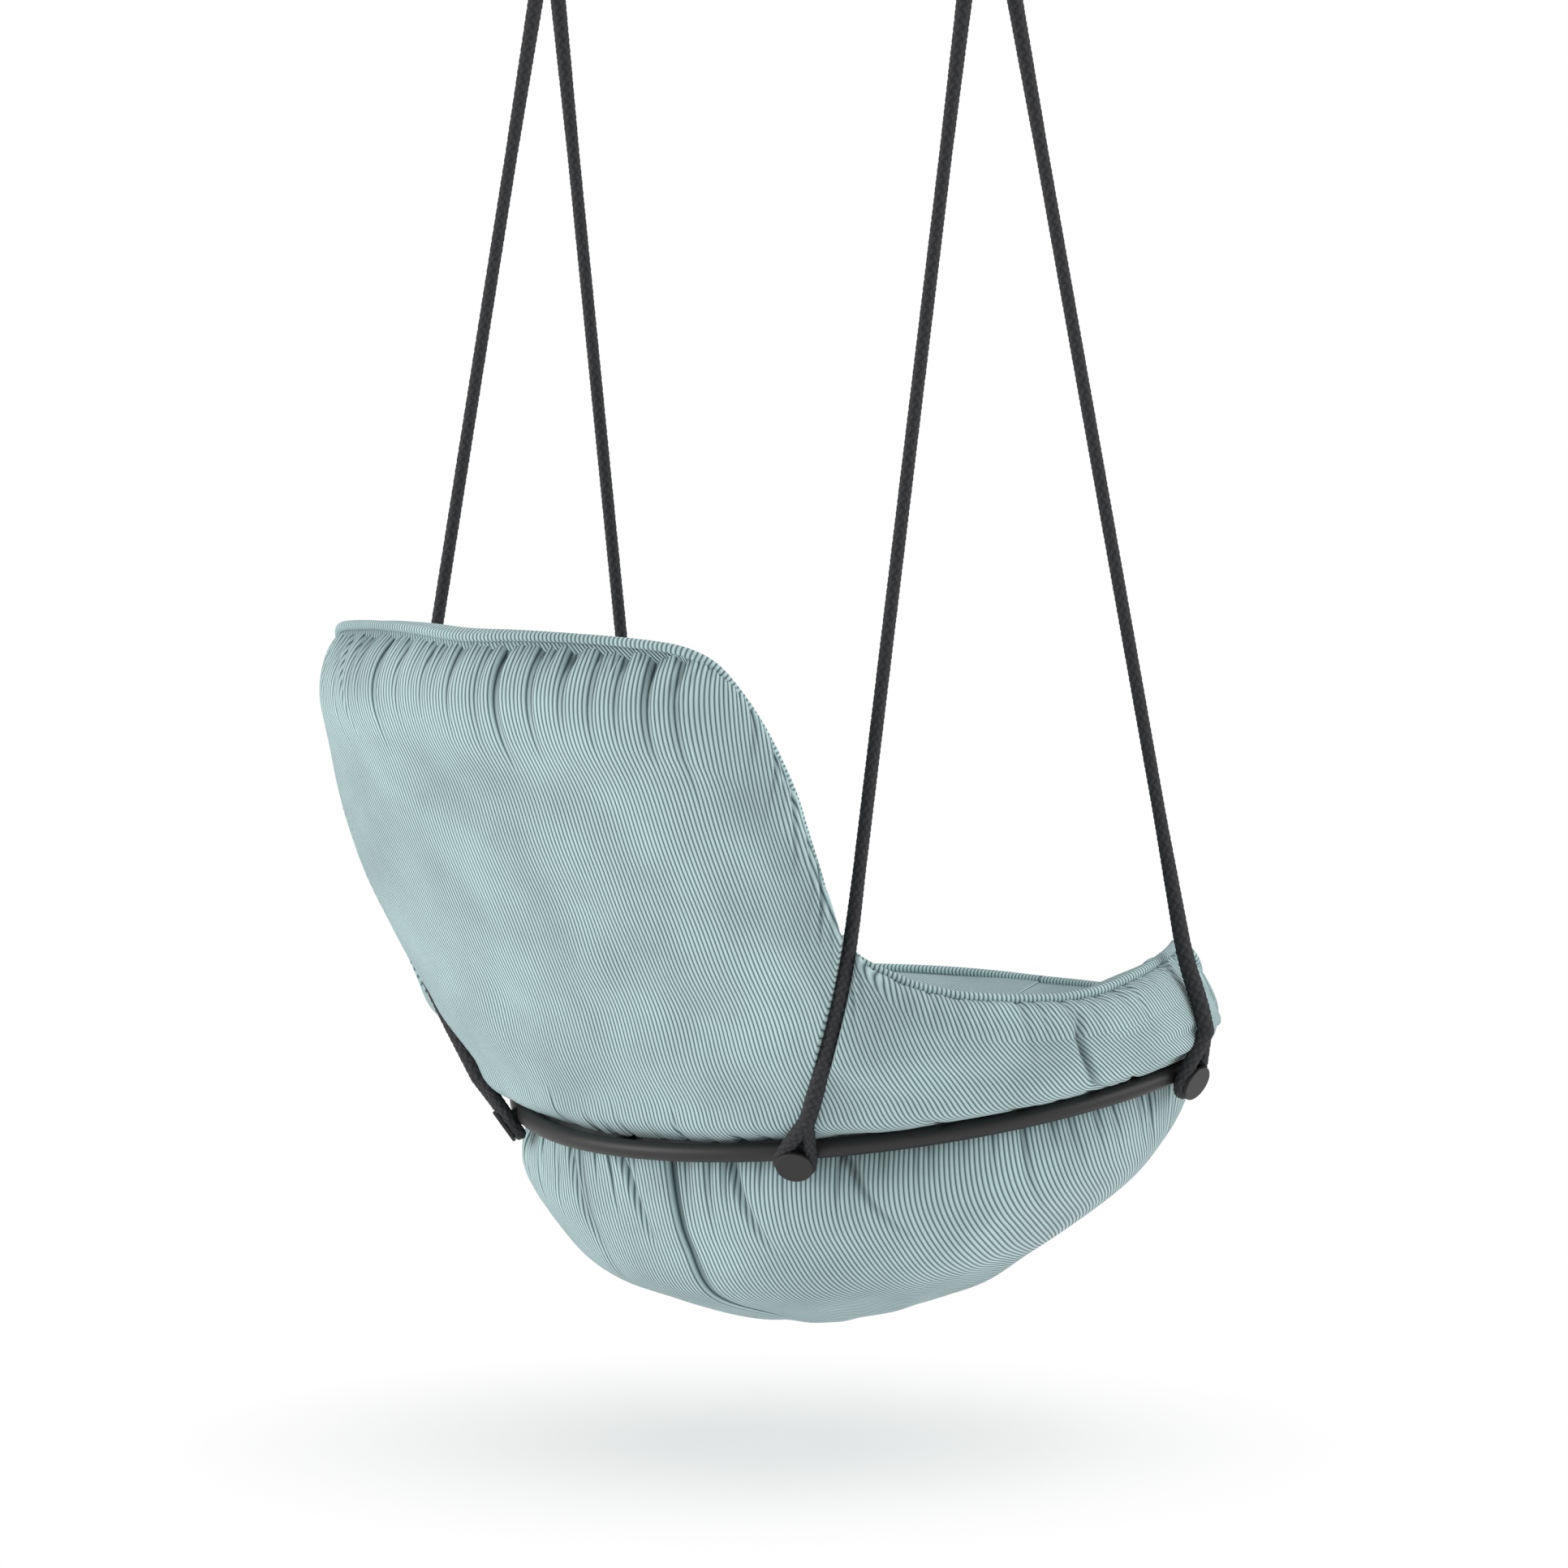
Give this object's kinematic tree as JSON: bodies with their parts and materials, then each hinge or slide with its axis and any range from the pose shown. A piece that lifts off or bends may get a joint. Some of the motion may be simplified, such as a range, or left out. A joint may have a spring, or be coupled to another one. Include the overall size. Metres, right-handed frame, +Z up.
{
  "type": "hanging swing seat",
  "caption": "Padded bucket swing seat in pale aqua corduroy, carried by a bent black tube hoop and hung by black ropes from ceiling plates",
  "frame": {"origin": "on the ceiling plane, midway between the two ceiling plates", "axes": "+Z up into the ceiling, +X to the sitter's left, the seat faces -Y"},
  "size_m": [0.9378, 0.9025, 1.6278],
  "materials": {
    "plate": "matte",
    "frame": "matte",
    "hardware": "satin",
    "bush": "matte",
    "plug": "matte",
    "rope": "matte",
    "shell": "matte",
    "cover": "matte"
  },
  "bodies": {
    "ceiling": {"ceiling_plate_left": "plate", "ceiling_plate_right": "plate", "pivot_bolt_left": "hardware", "pivot_bolt_right": "hardware", "pivot_washers_left": "hardware", "pivot_washers_right": "hardware", "lock_nut_left": "hardware", "lock_nut_right": "hardware"},
    "seat": {"rope_bush_left": "bush", "rope_bush_right": "bush", "rope_rear_left": "rope", "rope_rear_right": "rope", "rope_front_left": "rope", "rope_front_right": "rope", "peg_cap_rear_left": "frame", "peg_cap_rear_right": "frame", "peg_cap_front_left": "frame", "peg_cap_front_right": "frame", "peg_sleeve_rear_left": "frame", "peg_sleeve_rear_right": "frame", "peg_sleeve_front_left": "frame", "peg_sleeve_front_right": "frame", "hoop_tube": "frame", "hoop_plug_left": "plug", "hoop_plug_right": "plug", "hoop_studs": "frame", "shell_bolts": "hardware", "seat_shell": "shell", "outer_back_pad": "cover", "belly_pad": "cover", "rim_piping": "cover", "back_cushion": "cover", "seat_cushion": "cover"}
  },
  "joints": [
    {"name": "swing", "type": "hinge", "parent": "ceiling", "child": "seat", "pos_m": [0, 0, -0.048], "axis": [1, 0, 0], "range_deg": [-25, 25]}
  ]
}
